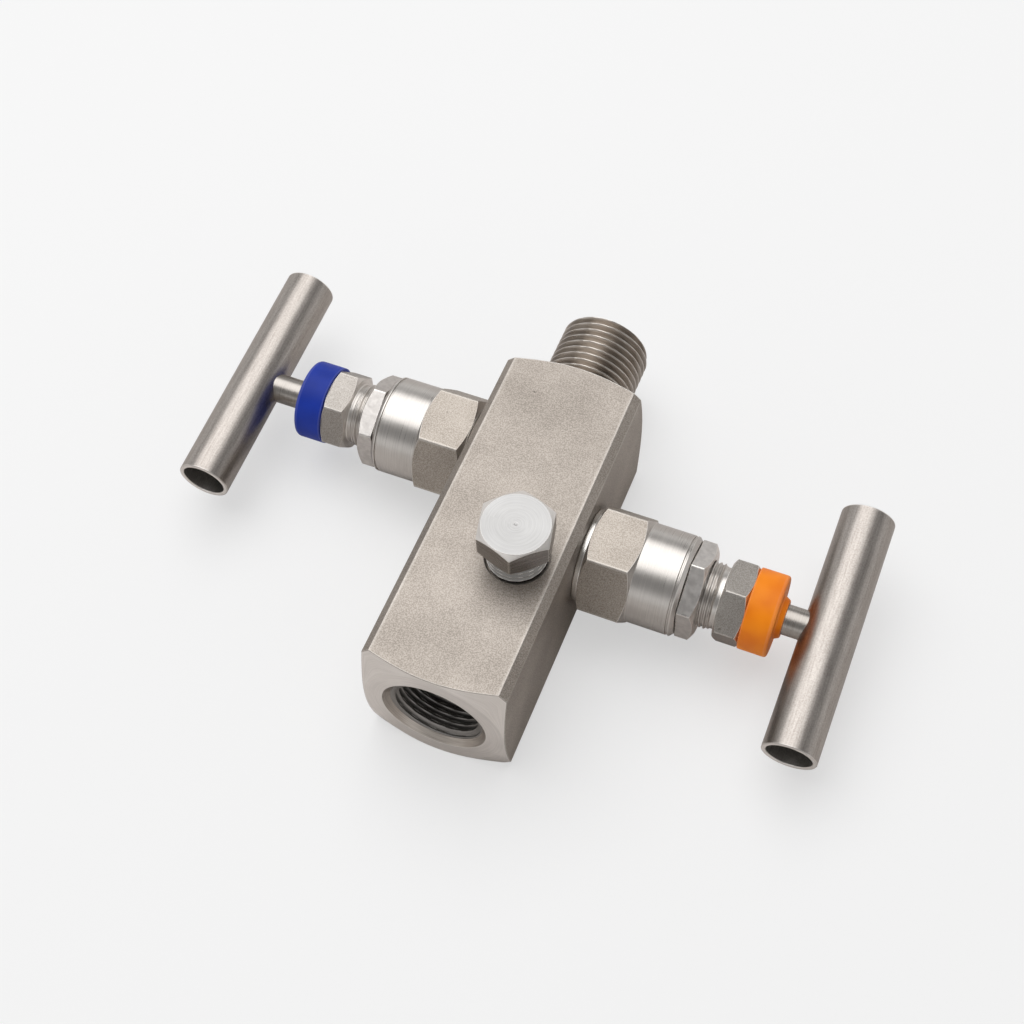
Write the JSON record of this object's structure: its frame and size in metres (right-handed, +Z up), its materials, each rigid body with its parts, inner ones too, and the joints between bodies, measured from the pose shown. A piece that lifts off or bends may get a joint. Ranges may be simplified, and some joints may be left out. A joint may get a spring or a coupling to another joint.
{
  "type": "instrument valve manifold",
  "caption": "Square-bodied instrument manifold with isolate and vent needle valves, tube T-handles, a plugged vent port, one male and one female threaded end.",
  "frame": {"origin": "centre of the female gauge port's turned end face, on the axis of the block", "axes": "+Y along the block from the female gauge port to the male process end, +X towards the vent valve, +Z up through the plugged vent port"},
  "size_m": [0.1563, 0.1048, 0.0444],
  "materials": {
    "block_steel": "blasted",
    "bonnet_steel": "satin",
    "fitting_steel": "machined",
    "stem_steel": "polished",
    "handle_steel": "brushed",
    "packing_graphite": "matte",
    "cap_blue": "satin",
    "cap_orange": "satin"
  },
  "bodies": {
    "manifold": {"body": "block_steel", "vent_plug": "fitting_steel", "isolate_bonnet": "bonnet_steel", "isolate_bonnet_seal": "fitting_steel", "isolate_packing_washer": "fitting_steel", "isolate_packing_rings": "packing_graphite", "isolate_packing_follower": "fitting_steel", "isolate_lock_nut": "bonnet_steel", "isolate_gland_nut": "fitting_steel", "isolate_dust_cap": "cap_blue", "vent_bonnet": "bonnet_steel", "vent_bonnet_seal": "fitting_steel", "vent_packing_washer": "fitting_steel", "vent_packing_rings": "packing_graphite", "vent_packing_follower": "fitting_steel", "vent_lock_nut": "bonnet_steel", "vent_gland_nut": "fitting_steel", "vent_dust_cap": "cap_orange"},
    "isolate_needle_slide": {"isolate_needle": "stem_steel"},
    "isolate_spindle": {"isolate_stem": "stem_steel", "isolate_handle_bar": "handle_steel"},
    "vent_needle_slide": {"vent_needle": "stem_steel"},
    "vent_spindle": {"vent_stem": "stem_steel", "vent_handle_bar": "handle_steel"}
  },
  "joints": [
    {"name": "isolate_needle_lift", "type": "slide", "parent": "manifold", "child": "isolate_needle_slide", "axis": [-1, 0, 0], "range_m": [-0.0025, 0.0015]},
    {"name": "isolate_handle_turn", "type": "hinge", "parent": "isolate_needle_slide", "child": "isolate_spindle", "pos_m": [-0.05, 0.0653, 0], "axis": [-1, 0, 0], "range_deg": [-900, 540]},
    {"name": "vent_needle_lift", "type": "slide", "parent": "manifold", "child": "vent_needle_slide", "axis": [1, 0, 0], "range_m": [0, 0.004]},
    {"name": "vent_handle_turn", "type": "hinge", "parent": "vent_needle_slide", "child": "vent_spindle", "pos_m": [0.05, 0.0484, 0], "axis": [1, 0, 0], "range_deg": [0, 1440]}
  ],
  "couplings": [
    {"joint": "isolate_handle_turn", "follows": "isolate_needle_lift", "rad_per_m": 6283.2},
    {"joint": "vent_handle_turn", "follows": "vent_needle_lift", "rad_per_m": 6283.2}
  ]
}
